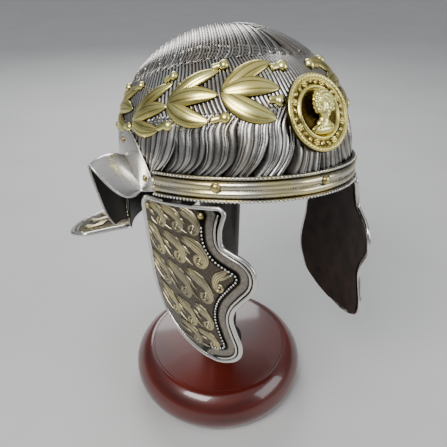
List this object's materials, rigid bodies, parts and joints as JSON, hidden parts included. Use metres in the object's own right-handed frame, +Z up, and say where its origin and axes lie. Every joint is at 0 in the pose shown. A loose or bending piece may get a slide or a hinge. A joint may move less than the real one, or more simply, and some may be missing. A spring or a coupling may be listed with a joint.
{
  "type": "roman cavalry helmet on wooden stand",
  "caption": "Parade helmet with hair relief, laurel wreath, medallion, ear and neck guards and hinged cheek guards, set on a round wooden stand.",
  "frame": {"origin": "centre of the underside of the round base", "axes": "+Z up along the post; -Y is the way the helmet faces; -X is the wearer's right"},
  "size_m": [0.2639, 0.252, 0.4002],
  "materials": {
    "hair_steel": "embossed steel, dark in the grooves, with a pale gilt wreath",
    "bright_steel": "polished plain steel",
    "gilt": "pale gilt relief on steel, dark in the grooves, polished rim",
    "brass": "worn brass rivets",
    "leather": "dark brown leather",
    "red_wood": "glossy dark red lacquered wood",
    "dark_wood": "dark brown stained wood"
  },
  "bodies": {
    "helmet_on_stand": {"bowl": "hair_steel", "browband": "gilt", "medallion": "gilt", "neck_guard": "gilt", "ear_guard_right": "bright_steel", "ear_guard_left": "bright_steel", "band_rivet_front": "brass", "band_rivet_right": "brass", "band_rivet_left": "brass", "ear_rivet_right_1": "brass", "ear_rivet_right_2": "brass", "ear_rivet_left_1": "brass", "ear_rivet_left_2": "brass", "neck_rivet_1": "brass", "neck_rivet_2": "brass", "neck_rivet_3": "brass", "hinge_leaf_right": "bright_steel", "hinge_leaf_left": "bright_steel", "hinge_pin_right": "brass", "hinge_pin_left": "brass", "stand_base": "red_wood", "stand_post": "dark_wood", "stand_head": "dark_wood"},
    "cheek_right": {"cheek_guard_right": "gilt", "cheek_lining_right": "leather", "cheek_rivet_right_1": "brass", "cheek_rivet_right_2": "brass"},
    "cheek_left": {"cheek_guard_left": "gilt", "cheek_lining_left": "leather", "cheek_rivet_left_1": "brass", "cheek_rivet_left_2": "brass"}
  },
  "joints": [
    {"name": "cheek_hinge_right", "type": "hinge", "parent": "helmet_on_stand", "child": "cheek_right", "pos_m": [-0.08579, -0.06623, 0.2954], "axis": [-0.3949, 0.9042, -0.1627], "range_deg": [-20, 70]},
    {"name": "cheek_hinge_left", "type": "hinge", "parent": "helmet_on_stand", "child": "cheek_left", "pos_m": [0.08526, -0.07005, 0.27845], "axis": [-0.3949, -0.8866, 0.2409], "range_deg": [-20, 70]}
  ]
}
